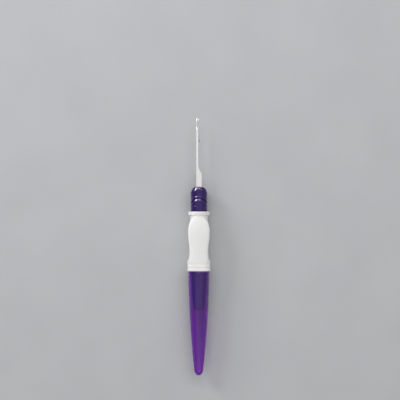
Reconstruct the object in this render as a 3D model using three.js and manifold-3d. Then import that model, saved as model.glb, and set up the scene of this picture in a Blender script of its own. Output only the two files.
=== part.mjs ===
// A latch hook tool: a fine steel needle with a hook and a swinging latch, held by a moulded handle
// with a beaded collar and a white grip. A hollow see-through cap is posted on the handle's rear stub.
// Millimetres, +Z up. The tool lies along Y on the flat underside of its grip, with the hook towards
// +Y, and the origin is on that flat's level, under the middle of the tool.
import * as THREE from "three";
import { mergeVertices } from "three/addons/utils/BufferGeometryUtils.js";
import Module from "manifold-3d";

const wasm = await Module();
wasm.setup();

// Lengths along the tool, from the cap's closed end to the hook
const CAP_LENGTH = 46.3;
const GRIP_LENGTH = 26.4;
const COLLAR_LENGTH = 10.9;
const NEEDLE_REACH = 30.4;

// Front of the white grip, with places measured back from its front face
const GRIP_RIM_HALF_WIDTH = 4.75;
const GRIP_RIM_HALF_HEIGHT = 4.3;
const GRIP_RIM_LENGTH = 1.5;
const GRIP_RIM_ROUND = 0.3;
const GRIP_NECK_HALF_WIDTH = 3.95;
const GRIP_NECK_HALF_HEIGHT = 4.06;
const GRIP_NECK_PLACE = 2.0;
const GRIP_NECK_LENGTH = 1.2;
const GRIP_NECK_ARCH = 1.2;
const GRIP_EDGE_HALF_WIDTH = 4.12;
const GRIP_EDGE_HALF_HEIGHT = 4.12;
const GRIP_EDGE_PLACE = 4.0;
const GRIP_EDGE_ARCH = 1.5;
const GRIP_SHOULDER_HALF_WIDTH = 4.62;
const GRIP_SHOULDER_HALF_HEIGHT = 4.48;
const GRIP_SHOULDER_PLACE = 6.2;
const GRIP_SHOULDER_ARCH = 1.3;
const GRIP_WIDEST_HALF_WIDTH = 4.9;
const GRIP_WIDEST_HALF_HEIGHT = 4.7;
const GRIP_WIDEST_PLACE = 8.6;
const GRIP_WIDEST_ARCH = 0.65;
const GRIP_HALF_HEIGHT = 4.8;
const GRIP_SQUARENESS = 8;
const FLAT_CROWN = 0.12;

// Rear of the white grip, measured from its rear face
const GRIP_WAIST_HALF_WIDTH = 4.2;
const GRIP_WAIST_FROM_END = 8.8;
const GRIP_FLARE_HALF_WIDTH = 4.38;
const GRIP_FLARE_FROM_END = 6.0;
const GRIP_REAR_HALF_WIDTH = 5.14;
const GRIP_REAR_LENGTH = 4.3;
const GRIP_REAR_SQUARENESS = 4.5;
const GRIP_RINGS_FROM_END = [3.05, 1.35];
const GRIP_RING_DEPTH = 0.08;
const GRIP_RING_HALF_LENGTH = 0.4;
const GRIP_BOSS_LENGTH = 0.5;
const REST_FLAT_DEPTH = 0.15;

// Collar with two arched beads, with places measured back from its nose
const COLLAR_RADIUS = 3.68;
const COLLAR_WAIST_RADIUS = 3.5;
const COLLAR_NOSE_RADIUS = 2;
const COLLAR_NOSE_LENGTH = 1.8;
const COLLAR_LEDGE_RADIUS = 3.38;
const COLLAR_LEDGE_PLACE = 6.48;
const COLLAR_LEDGE_LENGTH = 0.45;
const COLLAR_ARCH = 1.12;
const COLLAR_ARCH_POWER = 3;

// Handle core inside the collar, grip and cap
const SPIGOT_RADIUS = 1.85;
const SPIGOT_SETBACK = 0.2;
const BARREL_RADIUS = 2.9;
const SEAT_LENGTH = 1.2;
const STUB_RADIUS = 3.7;
const STUB_END_RADIUS = 2.65;
const STUB_END_ROUND = 1.7;
const STUB_LENGTH = 17.5;

// Cap
const CAP_MOUTH_RADIUS = 4.6;
const CAP_TAPER_LOSS = 2.85;
const CAP_TAPER_POWER = 1.75;
const CAP_WALL = 0.62;
const CAP_END_WALL = 0.7;
const CAP_END_ROUND = 2.2;
const CAP_LIP_ROUND = 0.12;

// Needle: strip, shank, ramp, stem and tang
const STRIP_THICKNESS = 0.7;
const EDGE_CHAMFER = 0.09;
const SHANK_WIDTH = 2.54;
const SHANK_REACH = 5.5;
const STEM_WIDTH = 0.89;
const RAMP_LENGTH = 5.1;
const RAMP_CORNER_RADIUS = 1.2;
const TANG_LENGTH = 14;
const TANG_NOTCH_DEPTH = 0.5;
const TANG_NOTCH_LENGTH = 2.4;

// Needle: hook, with lengths measured back from its tip end
const WIRE_DIAMETER = 0.42;
const HOOK_BEND_RADIUS = 0.45;
const HOOK_DROP = 1.6;
const HOOK_POINT_DIAMETER = 0.24;
const HOOK_POINT_LENGTH = 0.6;

// Needle: cheeks, latch slot and rivet
const CHEEK_FROM_TIP = 3.8;
const CHEEK_RAMP_LENGTH = 0.8;
const SLOT_WIDTH = 0.34;
const RIVET_FROM_TIP = 5.68;
const RIVET_FROM_BACK = 0.55;
const RIVET_DIAMETER = 0.36;
const RIVET_HEAD_DIAMETER = 0.52;
const RIVET_HEAD_HEIGHT = 0.06;

// Latch
const LATCH_LENGTH = 4.95;
const LATCH_THICKNESS = 0.24;
const LATCH_EYE_DIAMETER = 0.64;
const LATCH_BLADE_WIDTH = 0.26;
const LATCH_BLADE_START = 0.9;
const LATCH_OPEN_LEAN = 10.5;
const SPOON_LENGTH = 1.9;
const SPOON_WIDTH = 0.72;
const SPOON_DEPTH = 0.5;
const SPOON_WALL = 0.12;

// Clearances
const PRESS_GAP = 0.02;
const CAP_BORE_GAP = 0.08;
const LATCH_BORE_GAP = 0.03;
const SLOT_FLOOR_GAP = 0.05;
const FACE_GAP = 0.05;

// Facets
const AROUND_HANDLE = 56;
const AROUND_CAP = 36;
const AROUND_WIRE = 14;
const RINGS_BETWEEN = 3;

// Levels along Y that the lengths give, with the middle of the tool at 0
const TOTAL_LENGTH = CAP_LENGTH + GRIP_LENGTH + COLLAR_LENGTH + NEEDLE_REACH;
const TAIL_Y = -TOTAL_LENGTH / 2;
const GRIP_REAR_Y = TAIL_Y + CAP_LENGTH;
const GRIP_FRONT_Y = GRIP_REAR_Y + GRIP_LENGTH;
const NOSE_Y = GRIP_FRONT_Y + COLLAR_LENGTH;
const TIP_Y = NOSE_Y + NEEDLE_REACH;
const AXIS_Z = GRIP_HALF_HEIGHT - REST_FLAT_DEPTH;
const SEAT_RADIUS = CAP_MOUTH_RADIUS - CAP_WALL - CAP_BORE_GAP;

// Places on the needle
const BACK_X = -SHANK_WIDTH / 2;
const STEM_EDGE_X = BACK_X + STEM_WIDTH;
const CHEEK_TOP_Y = TIP_Y - CHEEK_FROM_TIP;
const PIVOT_X = BACK_X + RIVET_FROM_BACK;
const PIVOT_Y = TIP_Y - RIVET_FROM_TIP;
const HOOK_BACK_X = BACK_X + WIRE_DIAMETER / 2;
const HOOK_TIP_X = HOOK_BACK_X + 2 * HOOK_BEND_RADIUS;
const HOOK_ROOT_Y = CHEEK_TOP_Y - CHEEK_RAMP_LENGTH;
const HOOK_BEND_Y = TIP_Y - WIRE_DIAMETER / 2 - HOOK_BEND_RADIUS;
const HOOK_END_Y = TIP_Y - HOOK_DROP;
const HOOK_TAPER_Y = HOOK_END_Y + HOOK_POINT_LENGTH;

const steel = new THREE.MeshStandardMaterial({ color: 0xe4e2de, metalness: 1, roughness: 0.25 });
const latchSteel = new THREE.MeshStandardMaterial({ color: 0xafaead, metalness: 1, roughness: 0.3 });
const rivetSteel = new THREE.MeshStandardMaterial({ color: 0xb8b6b2, metalness: 1, roughness: 0.35 });
const coreViolet = new THREE.MeshStandardMaterial({ color: 0x33205c, roughness: 0.35 });
const collarViolet = new THREE.MeshStandardMaterial({ color: 0x3e2a6e, roughness: 0.45 });
const gripWhite = new THREE.MeshStandardMaterial({ color: 0xe9e9e6, roughness: 0.5 });
const clearPurple = new THREE.MeshStandardMaterial({
  color: 0x6a2f8f,
  roughness: 0.1,
  transparent: true,
  opacity: 0.75,
});

// A closed geometry as a manifold solid.
function solidOf(geometry) {
  const bare = geometry.clone();
  bare.deleteAttribute("normal");
  bare.deleteAttribute("uv");
  const merged = mergeVertices(bare, 1e-5);
  return new wasm.Manifold(
    new wasm.Mesh({
      numProp: 3,
      vertProperties: new Float32Array(merged.attributes.position.array),
      triVerts: new Uint32Array(merged.index.array),
    }),
  );
}

// A manifold solid as a geometry.
function geometryOf(solid) {
  const mesh = solid.getMesh();
  const geometry = new THREE.BufferGeometry();
  geometry.setAttribute("position", new THREE.BufferAttribute(mesh.vertProperties, 3));
  geometry.setIndex(new THREE.BufferAttribute(mesh.triVerts, 1));
  geometry.computeVertexNormals();
  return geometry;
}

function piece(name, geometry, material) {
  const mesh = new THREE.Mesh(geometry, material);
  mesh.name = name;
  return mesh;
}

// A solid of revolution about Y, from [radius, y] points that rise along Y.
function turned(profile, around) {
  const points = profile.map(([radius, y]) => new THREE.Vector2(radius, y));
  return new THREE.LatheGeometry(points, around);
}

// A flat piece with the same outline in X and Y all through, centred on its thickness.
function strip(outline, thickness, chamfer) {
  const geometry = new THREE.ExtrudeGeometry(outline, {
    depth: thickness - 2 * chamfer,
    bevelEnabled: chamfer > 0,
    bevelThickness: chamfer,
    bevelSize: chamfer,
    bevelOffset: -chamfer,
    bevelSegments: 1,
    curveSegments: 8,
  });
  geometry.translate(0, 0, chamfer - thickness / 2);
  return geometry;
}

// A ball stretched to three half axes.
function stretchedBall(halfX, halfY, halfZ) {
  const ball = new THREE.SphereGeometry(1, 16, 10);
  ball.scale(halfX, halfY, halfZ);
  return ball;
}

// A section of a moulding. Squareness 2 is an ellipse, and more is nearer to a rectangle whose top and
// underside are slightly crowned. Its ring lies further forward by arch at the top and underside, and
// further back by arch at the flanks. A plain section runs straight to the next one, and others ease in
// and out.
function section(place, width, height, squareness, arch, plain) {
  return { place, width, height, squareness, arch, plain };
}

function roundSection(place, radius, arch, plain) {
  return section(place, radius, radius, 2, arch, plain);
}

function sectionPoint(turn, { width, height, squareness }) {
  const across = Math.sin(turn);
  const up = Math.cos(turn);
  const fill = Math.abs(across / width) ** squareness + Math.abs(up / height) ** squareness;
  const radius = fill ** (-1 / squareness);
  const crown = 1 - FLAT_CROWN * (1 - 2 / squareness) * ((radius * across) / width) ** 2;
  return [radius * across, radius * up * crown];
}

// Adds the sections that lie between the stated ones.
function easedSections(stated) {
  const sections = [];
  for (let i = 0; i < stated.length - 1; i += 1) {
    const steps = stated[i].plain ? 1 : RINGS_BETWEEN;
    for (let k = 0; k < steps; k += 1) {
      const even = k / steps;
      const eased = (1 - Math.cos(Math.PI * even)) / 2;
      const mix = (key, share) => stated[i][key] + (stated[i + 1][key] - stated[i][key]) * share;
      sections.push(
        section(
          mix("place", even),
          mix("width", eased),
          mix("height", eased),
          mix("squareness", even),
          mix("arch", even),
        ),
      );
    }
  }
  sections.push(stated[stated.length - 1]);
  return sections;
}

// A hollow moulding from its outer sections, front to back, and a round bore through it. A higher arch
// power keeps more of the top level and bends the rings back nearer to the flanks.
function archedShell(frontY, outerSections, boreRadius, archPower) {
  const first = outerSections[0].place;
  const last = outerSections[outerSections.length - 1].place;
  const rings = [...outerSections, roundSection(last, boreRadius, 0), roundSection(first, boreRadius, 0)];
  const points = [];
  const faces = [];
  rings.forEach((ring, i) => {
    const next = (i + 1) % rings.length;
    for (let k = 0; k < AROUND_HANDLE; k += 1) {
      const turn = (2 * Math.PI * k) / AROUND_HANDLE;
      const [x, z] = sectionPoint(turn, ring);
      const forward = ring.arch * (1 - 2 * Math.abs(Math.sin(turn)) ** archPower);
      points.push(x, frontY - ring.place + forward, z);
      const along = (k + 1) % AROUND_HANDLE;
      const here = i * AROUND_HANDLE + k;
      const beside = i * AROUND_HANDLE + along;
      const behind = next * AROUND_HANDLE + k;
      const across = next * AROUND_HANDLE + along;
      faces.push(here, behind, across, here, across, beside);
    }
  });
  const geometry = new THREE.BufferGeometry();
  geometry.setAttribute("position", new THREE.Float32BufferAttribute(points, 3));
  geometry.setIndex(faces);
  return geometry;
}

// White grip: an oval rim, a neck behind it, a barrel whose front edge runs forward in an arch between
// scooped flanks and whose top rises slowly, a waist, and a fuller rear end with two shallow rings and a
// boss that centres the cap. Its underside is cut flat.
function gripSleeve() {
  const rimInset = GRIP_RIM_ROUND / 3;
  const neckSquareness = 2.2;
  const rim = (place, inset) =>
    section(place, GRIP_RIM_HALF_WIDTH - inset, GRIP_RIM_HALF_HEIGHT - inset, 2, 0, true);
  const body = (place, width, height, arch) => section(place, width, height, GRIP_SQUARENESS, arch);
  const rear = (fromEnd, inset) =>
    section(
      GRIP_LENGTH - fromEnd,
      GRIP_REAR_HALF_WIDTH - inset,
      GRIP_HALF_HEIGHT - inset,
      GRIP_REAR_SQUARENESS,
      0,
      true,
    );
  const rings = GRIP_RINGS_FROM_END.flatMap((fromEnd) => [
    rear(fromEnd + GRIP_RING_HALF_LENGTH, 0),
    rear(fromEnd, GRIP_RING_DEPTH),
    rear(fromEnd - GRIP_RING_HALF_LENGTH, 0),
  ]);
  const sections = easedSections([
    rim(0, GRIP_RIM_ROUND),
    rim(rimInset, rimInset),
    rim(GRIP_RIM_ROUND, 0),
    rim(GRIP_RIM_LENGTH, 0),
    section(
      GRIP_NECK_PLACE,
      GRIP_NECK_HALF_WIDTH,
      GRIP_NECK_HALF_HEIGHT,
      neckSquareness,
      GRIP_NECK_ARCH / 5,
      true,
    ),
    section(
      GRIP_NECK_PLACE + GRIP_NECK_LENGTH,
      GRIP_NECK_HALF_WIDTH,
      GRIP_NECK_HALF_HEIGHT,
      neckSquareness,
      GRIP_NECK_ARCH,
    ),
    body(GRIP_EDGE_PLACE, GRIP_EDGE_HALF_WIDTH, GRIP_EDGE_HALF_HEIGHT, GRIP_EDGE_ARCH),
    body(GRIP_SHOULDER_PLACE, GRIP_SHOULDER_HALF_WIDTH, GRIP_SHOULDER_HALF_HEIGHT, GRIP_SHOULDER_ARCH),
    body(GRIP_WIDEST_PLACE, GRIP_WIDEST_HALF_WIDTH, GRIP_WIDEST_HALF_HEIGHT, GRIP_WIDEST_ARCH),
    body(GRIP_LENGTH - GRIP_WAIST_FROM_END, GRIP_WAIST_HALF_WIDTH, GRIP_HALF_HEIGHT, 0),
    body(GRIP_LENGTH - GRIP_FLARE_FROM_END, GRIP_FLARE_HALF_WIDTH, GRIP_HALF_HEIGHT, 0),
    rear(GRIP_REAR_LENGTH, 0),
    ...rings,
    rear(GRIP_RIM_ROUND, 0),
    rear(rimInset, rimInset),
    rear(0, GRIP_RIM_ROUND),
    roundSection(GRIP_LENGTH, SEAT_RADIUS, 0, true),
    roundSection(GRIP_LENGTH + GRIP_BOSS_LENGTH, SEAT_RADIUS - GRIP_BOSS_LENGTH / 4, 0, true),
  ]);
  const shell = solidOf(archedShell(GRIP_FRONT_Y, sections, BARREL_RADIUS + PRESS_GAP, 2));
  const waste = new THREE.BoxGeometry(4 * GRIP_REAR_HALF_WIDTH, 2 * GRIP_LENGTH, GRIP_HALF_HEIGHT);
  waste.translate(0, (GRIP_FRONT_Y + GRIP_REAR_Y) / 2, -AXIS_Z - GRIP_HALF_HEIGHT / 2);
  return geometryOf(shell.subtract(solidOf(waste)));
}

// Collar: a rounded nose and two beads. Each bead starts on an arched ledge and narrows to a soft waist
// before it swells again.
function frontCollar() {
  const rise = COLLAR_RADIUS - COLLAR_NOSE_RADIUS;
  const firstWaist = (COLLAR_NOSE_LENGTH + COLLAR_LEDGE_PLACE) / 2;
  const secondWaist = (COLLAR_LEDGE_PLACE + COLLAR_LENGTH) / 2;
  const nose = (turn) =>
    roundSection(
      COLLAR_NOSE_LENGTH * (1 - Math.cos(turn)),
      COLLAR_NOSE_RADIUS + rise * Math.sin(turn),
      COLLAR_ARCH * 0.4 * (1 - Math.cos(turn)),
      true,
    );
  const sections = easedSections([
    nose(0),
    nose(Math.PI / 8),
    nose(Math.PI / 4),
    nose((3 * Math.PI) / 8),
    roundSection(COLLAR_NOSE_LENGTH, COLLAR_RADIUS, COLLAR_ARCH * 0.4),
    roundSection(firstWaist, (COLLAR_RADIUS + COLLAR_WAIST_RADIUS) / 2, COLLAR_ARCH * 0.7),
    roundSection(COLLAR_LEDGE_PLACE - COLLAR_LEDGE_LENGTH, COLLAR_RADIUS, COLLAR_ARCH, true),
    roundSection(COLLAR_LEDGE_PLACE, COLLAR_LEDGE_RADIUS, COLLAR_ARCH, true),
    roundSection(COLLAR_LEDGE_PLACE + COLLAR_LEDGE_LENGTH, COLLAR_RADIUS, COLLAR_ARCH),
    roundSection(secondWaist, COLLAR_WAIST_RADIUS, COLLAR_ARCH / 2),
    roundSection(COLLAR_LENGTH - FACE_GAP, COLLAR_RADIUS, 0),
  ]);
  return archedShell(NOSE_Y, sections, SPIGOT_RADIUS + PRESS_GAP, COLLAR_ARCH_POWER);
}

// Both sides of the tang, from the back edge at the nose round to the front edge at the nose, grown by a
// gap for the pocket that holds it. A notch in each side keys it in the handle.
function tangSides(outline, gap) {
  const endY = NOSE_Y - TANG_LENGTH - gap;
  const notchTopY = NOSE_Y - (TANG_LENGTH - TANG_NOTCH_LENGTH) / 2 - gap;
  const notchEndY = NOSE_Y - (TANG_LENGTH + TANG_NOTCH_LENGTH) / 2 + gap;
  const side = SHANK_WIDTH / 2 + gap;
  const notch = side - TANG_NOTCH_DEPTH;
  outline.lineTo(-side, notchTopY);
  outline.lineTo(-notch, notchTopY);
  outline.lineTo(-notch, notchEndY);
  outline.lineTo(-side, notchEndY);
  outline.lineTo(-side, endY);
  outline.lineTo(side, endY);
  outline.lineTo(side, notchEndY);
  outline.lineTo(notch, notchEndY);
  outline.lineTo(notch, notchTopY);
  outline.lineTo(side, notchTopY);
}

// Handle core: a tapered stub with the cap's seat, the barrel in the grip and the spigot in the collar,
// with a pocket for the tang that is open at the front.
function handleCore() {
  const seatFrontY = GRIP_REAR_Y - GRIP_BOSS_LENGTH - FACE_GAP;
  const seatRearY = seatFrontY - SEAT_LENGTH;
  const stubEndY = GRIP_REAR_Y - STUB_LENGTH;
  const spigotEndY = NOSE_Y - SPIGOT_SETBACK;
  const profile = [[0, stubEndY]];
  for (let i = 1; i <= 4; i += 1) {
    const turn = (i * Math.PI) / 8;
    profile.push([STUB_END_RADIUS * Math.sin(turn), stubEndY + STUB_END_ROUND * (1 - Math.cos(turn))]);
  }
  profile.push([STUB_RADIUS, seatRearY - (SEAT_RADIUS - STUB_RADIUS)]);
  profile.push([SEAT_RADIUS, seatRearY]);
  profile.push([SEAT_RADIUS, seatFrontY]);
  profile.push([BARREL_RADIUS, seatFrontY]);
  profile.push([BARREL_RADIUS, GRIP_FRONT_Y]);
  profile.push([SPIGOT_RADIUS, GRIP_FRONT_Y]);
  profile.push([SPIGOT_RADIUS, spigotEndY]);
  profile.push([0, spigotEndY]);
  const side = SHANK_WIDTH / 2 + PRESS_GAP;
  const pocket = new THREE.Shape();
  pocket.moveTo(-side, NOSE_Y);
  tangSides(pocket, PRESS_GAP);
  pocket.lineTo(side, NOSE_Y);
  const pocketSolid = solidOf(strip(pocket, STRIP_THICKNESS + 2 * PRESS_GAP, 0));
  return geometryOf(solidOf(turned(profile, AROUND_CAP)).subtract(pocketSolid));
}

// Cap: the outer radius at a distance back from the mouth, for a cap whose closed end is rounded over.
function capRadius(fromMouth, length, round) {
  const taper = CAP_MOUTH_RADIUS - CAP_TAPER_LOSS * (fromMouth / CAP_LENGTH) ** CAP_TAPER_POWER;
  const over = Math.max(0, (fromMouth - (length - round)) / round);
  return { taper, shrink: Math.sqrt(Math.max(0, 1 - over * over)) };
}

// One wall of the cap as a profile from its closed end to its mouth.
function capWall(length, inset, round) {
  const profile = [[0, GRIP_REAR_Y - length]];
  const roundSteps = 5;
  const taperSteps = 12;
  for (let i = 1; i <= roundSteps; i += 1) {
    const fromMouth = length - round + round * Math.cos((i * Math.PI) / (2 * roundSteps));
    const { taper, shrink } = capRadius(fromMouth, length, round);
    profile.push([(taper - inset) * shrink, GRIP_REAR_Y - fromMouth]);
  }
  for (let i = taperSteps - 1; i >= 0; i -= 1) {
    const fromMouth = ((length - round) * i) / taperSteps;
    profile.push([capRadius(fromMouth, length, round).taper - inset, GRIP_REAR_Y - fromMouth]);
  }
  return profile;
}

function protectiveCap() {
  const outer = capWall(CAP_LENGTH, 0, CAP_END_ROUND);
  const mouthY = GRIP_REAR_Y - FACE_GAP;
  outer[outer.length - 1] = [CAP_MOUTH_RADIUS, mouthY - CAP_LIP_ROUND];
  outer.push([CAP_MOUTH_RADIUS - CAP_LIP_ROUND, mouthY], [0, mouthY]);
  const inner = capWall(CAP_LENGTH - CAP_END_WALL, CAP_WALL, CAP_END_ROUND - CAP_WALL);
  inner.push([CAP_MOUTH_RADIUS - CAP_WALL, GRIP_REAR_Y + 1], [0, GRIP_REAR_Y + 1]);
  return geometryOf(solidOf(turned(outer, AROUND_CAP)).subtract(solidOf(turned(inner, AROUND_CAP))));
}

// The hook's centre line: up along the needle's back, over a half circle and down to the point.
class HookLine extends THREE.Curve {
  getPoint(share, target = new THREE.Vector3()) {
    const rise = HOOK_BEND_Y - HOOK_ROOT_Y;
    const arc = Math.PI * HOOK_BEND_RADIUS;
    const along = share * (rise + arc + HOOK_BEND_Y - HOOK_TAPER_Y);
    if (along < rise) return target.set(HOOK_BACK_X, HOOK_ROOT_Y + along, 0);
    if (along > rise + arc) return target.set(HOOK_TIP_X, HOOK_BEND_Y - (along - rise - arc), 0);
    const turn = (along - rise) / HOOK_BEND_RADIUS;
    return target.set(
      HOOK_BACK_X + HOOK_BEND_RADIUS * (1 - Math.cos(turn)),
      HOOK_BEND_Y + HOOK_BEND_RADIUS * Math.sin(turn),
      0,
    );
  }
}

function hookWire() {
  const wire = new THREE.Shape();
  wire.absarc(0, 0, WIRE_DIAMETER / 2, 0, 2 * Math.PI);
  const bent = new THREE.ExtrudeGeometry(wire, {
    extrudePath: new HookLine(),
    steps: 36,
    curveSegments: AROUND_WIRE / 2,
  });
  const pointRadius = HOOK_POINT_DIAMETER / 2;
  const overlapY = HOOK_TAPER_Y + WIRE_DIAMETER / 4;
  const point = turned(
    [
      [0, HOOK_END_Y],
      [pointRadius * 0.7, HOOK_END_Y + pointRadius * 0.3],
      [pointRadius, HOOK_END_Y + pointRadius],
      [WIRE_DIAMETER / 2, HOOK_TAPER_Y],
      [WIRE_DIAMETER / 3, overlapY],
      [0, overlapY],
    ],
    AROUND_WIRE,
  );
  point.translate(HOOK_TIP_X, 0, 0);
  return solidOf(bent).add(solidOf(point));
}

// The slot in X and Y. Its floor clears the latch's eye, rises forwards to the hook's wire, and runs
// back beside the open latch until it leaves the stem.
function slotOutline() {
  const lean = THREE.MathUtils.degToRad(LATCH_OPEN_LEAN);
  const eyeClear = LATCH_EYE_DIAMETER / 2 + SLOT_FLOOR_GAP;
  const bladeClear = LATCH_BLADE_WIDTH / 2 + SLOT_FLOOR_GAP;
  const beyondX = STEM_EDGE_X + STEM_WIDTH;
  const beside = (along, aside) => [
    PIVOT_X + along * Math.sin(lean) - aside * Math.cos(lean),
    PIVOT_Y - along * Math.cos(lean) - aside * Math.sin(lean),
  ];
  const leaveAlong = (beyondX - PIVOT_X + bladeClear * Math.cos(lean)) / Math.sin(lean);
  const outline = new THREE.Shape();
  outline.moveTo(beyondX, CHEEK_TOP_Y + CHEEK_RAMP_LENGTH);
  outline.lineTo(BACK_X + WIRE_DIAMETER, CHEEK_TOP_Y + CHEEK_RAMP_LENGTH);
  outline.lineTo(BACK_X + WIRE_DIAMETER, CHEEK_TOP_Y);
  outline.lineTo(PIVOT_X - eyeClear, PIVOT_Y + eyeClear);
  outline.lineTo(...beside(0, eyeClear));
  outline.lineTo(...beside(eyeClear, eyeClear));
  outline.lineTo(...beside(LATCH_BLADE_START, bladeClear));
  outline.lineTo(...beside(leaveAlong, bladeClear));
  return outline;
}

// The ramp from stem to shank is two arcs that meet on a slope.
function latchNeedle() {
  const shankTopY = NOSE_Y + SHANK_REACH;
  const slope = 2 * Math.atan((SHANK_WIDTH - STEM_WIDTH) / RAMP_LENGTH);
  const hollowRadius = RAMP_LENGTH / Math.sin(slope) - RAMP_CORNER_RADIUS;
  const hollowX = STEM_EDGE_X + hollowRadius;
  const outline = new THREE.Shape();
  outline.moveTo(BACK_X, CHEEK_TOP_Y);
  tangSides(outline, 0);
  outline.lineTo(-BACK_X, shankTopY);
  outline.absarc(-BACK_X - RAMP_CORNER_RADIUS, shankTopY, RAMP_CORNER_RADIUS, 0, slope, false);
  outline.absarc(hollowX, shankTopY + RAMP_LENGTH, hollowRadius, Math.PI + slope, Math.PI, true);
  outline.lineTo(STEM_EDGE_X, CHEEK_TOP_Y - CHEEK_RAMP_LENGTH);
  outline.lineTo(BACK_X + WIRE_DIAMETER, CHEEK_TOP_Y);
  const blank = solidOf(strip(outline, STRIP_THICKNESS, EDGE_CHAMFER)).add(hookWire());
  const rivetHole = turned(pinProfile(RIVET_DIAMETER / 2 + PRESS_GAP, STRIP_THICKNESS), AROUND_WIRE);
  rivetHole.rotateX(Math.PI / 2);
  rivetHole.translate(PIVOT_X, PIVOT_Y, 0);
  return geometryOf(blank.subtract(solidOf(strip(slotOutline(), SLOT_WIDTH, 0))).subtract(solidOf(rivetHole)));
}

// A plain pin about Y that reaches out by halfLength each way.
function pinProfile(radius, halfLength) {
  return [
    [0, -halfLength],
    [radius, -halfLength],
    [radius, halfLength],
    [0, halfLength],
  ];
}

// Rivet: a pin with a low head on each cheek.
function latchRivet() {
  const pinRadius = RIVET_DIAMETER / 2;
  const headRadius = RIVET_HEAD_DIAMETER / 2;
  const cheek = STRIP_THICKNESS / 2 + PRESS_GAP / 2;
  const top = cheek + RIVET_HEAD_HEIGHT;
  const rivet = turned(
    [
      [0, -top],
      [pinRadius, -top],
      [headRadius, -cheek],
      [pinRadius, -cheek],
      [pinRadius, cheek],
      [headRadius, cheek],
      [pinRadius, top],
      [0, top],
    ],
    AROUND_WIRE,
  );
  rivet.rotateX(Math.PI / 2);
  return rivet;
}

// Latch, drawn with its eye at the origin and its spoon towards -Y: an eye that narrows to a blade, and
// a spoon whose hollow faces the side it swings to.
function latch() {
  const eyeRadius = LATCH_EYE_DIAMETER / 2;
  const half = LATCH_BLADE_WIDTH / 2;
  const spoonY = -LATCH_LENGTH + SPOON_LENGTH / 2;
  const outline = new THREE.Shape();
  outline.absarc(0, 0, eyeRadius, 0, Math.PI, false);
  outline.lineTo(-half, -LATCH_BLADE_START);
  outline.lineTo(-half, spoonY);
  outline.lineTo(half, spoonY);
  outline.lineTo(half, -LATCH_BLADE_START);
  outline.lineTo(eyeRadius, 0);
  const blade = solidOf(strip(outline, LATCH_THICKNESS, 0));
  const bore = turned(pinProfile(RIVET_DIAMETER / 2 + LATCH_BORE_GAP, LATCH_THICKNESS), AROUND_WIRE);
  bore.rotateX(Math.PI / 2);
  const spoon = stretchedBall(SPOON_DEPTH / 2, SPOON_LENGTH / 2, SPOON_WIDTH / 2);
  spoon.translate(0, spoonY, 0);
  const hollow = stretchedBall(SPOON_DEPTH / 2, SPOON_LENGTH / 2 - SPOON_WALL, SPOON_WIDTH / 2 - SPOON_WALL);
  hollow.translate(SPOON_DEPTH / 2, spoonY - SPOON_WALL, 0);
  return geometryOf(blade.subtract(solidOf(bore)).add(solidOf(spoon)).subtract(solidOf(hollow)));
}

const tool = new THREE.Group();
tool.position.z = AXIS_Z;

const handle = new THREE.Group();
handle.add(piece("handle_core", handleCore(), coreViolet));
handle.add(piece("front_collar", frontCollar(), collarViolet));
handle.add(piece("grip_sleeve", gripSleeve(), gripWhite));
handle.add(piece("latch_needle", latchNeedle(), steel));
tool.add(handle);

const pivot = new THREE.Group();
pivot.position.set(PIVOT_X, PIVOT_Y, 0);
pivot.add(piece("latch_rivet", latchRivet(), rivetSteel));
const openLatch = piece("latch", latch(), latchSteel);
openLatch.rotation.z = THREE.MathUtils.degToRad(LATCH_OPEN_LEAN);
pivot.add(openLatch);
tool.add(pivot);

tool.add(piece("cap", protectiveCap(), clearPurple));

export default tool;
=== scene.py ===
# %% [markdown]
# # A fine latch needle with a moulded handle
#
# This lesson dresses a small mending tool in Blender. A flat steel needle ends in a round hook
# with a swinging latch. A violet handle holds it, with an arched bead collar in front, a white
# shaped grip in the middle, and a clear purple cap posted on the rear end.
#
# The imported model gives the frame: where every part sits and which body it moves with. Each
# visible surface is then worked out again with numpy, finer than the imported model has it, and
# takes its place. Sizes are written in millimetres here, and become metres where a mesh is made.

import bpy
import numpy as np
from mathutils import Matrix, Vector


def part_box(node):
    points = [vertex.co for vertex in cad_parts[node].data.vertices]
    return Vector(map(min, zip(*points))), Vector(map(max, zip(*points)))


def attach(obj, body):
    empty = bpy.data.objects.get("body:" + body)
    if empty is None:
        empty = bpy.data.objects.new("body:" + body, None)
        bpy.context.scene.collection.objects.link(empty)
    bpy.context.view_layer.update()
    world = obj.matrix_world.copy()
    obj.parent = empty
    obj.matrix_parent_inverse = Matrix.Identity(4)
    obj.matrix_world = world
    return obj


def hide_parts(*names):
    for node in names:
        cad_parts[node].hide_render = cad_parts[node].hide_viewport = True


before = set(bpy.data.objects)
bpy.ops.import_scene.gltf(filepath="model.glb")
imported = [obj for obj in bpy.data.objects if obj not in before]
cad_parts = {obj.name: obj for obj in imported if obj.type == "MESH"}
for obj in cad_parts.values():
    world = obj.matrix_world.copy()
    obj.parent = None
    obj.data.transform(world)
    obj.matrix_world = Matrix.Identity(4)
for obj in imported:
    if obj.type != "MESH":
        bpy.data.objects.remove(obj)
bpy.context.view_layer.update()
MM = 0.001
print("nodes:", sorted(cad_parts))

# %% [markdown]
# ## The places that the frame gives
#
# A piece that replaces a node has to stay where the node is, so the main lengths aren't typed in
# twice. They are read from the nodes' boxes: the tool's axis is the middle of the collar, and the
# grip ends where the cap's mouth begins.

# %% Read the main places
def box_mm(node):
    """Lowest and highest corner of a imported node, in millimetres."""
    low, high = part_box(node)
    return np.array(low) / MM, np.array(high) / MM


core_low, core_high = box_mm("handle_core")
collar_low, collar_high = box_mm("front_collar")
grip_low, grip_high = box_mm("grip_sleeve")
cap_low, cap_high = box_mm("cap")
needle_low, needle_high = box_mm("latch_needle")
rivet_low, rivet_high = box_mm("latch_rivet")

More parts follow.
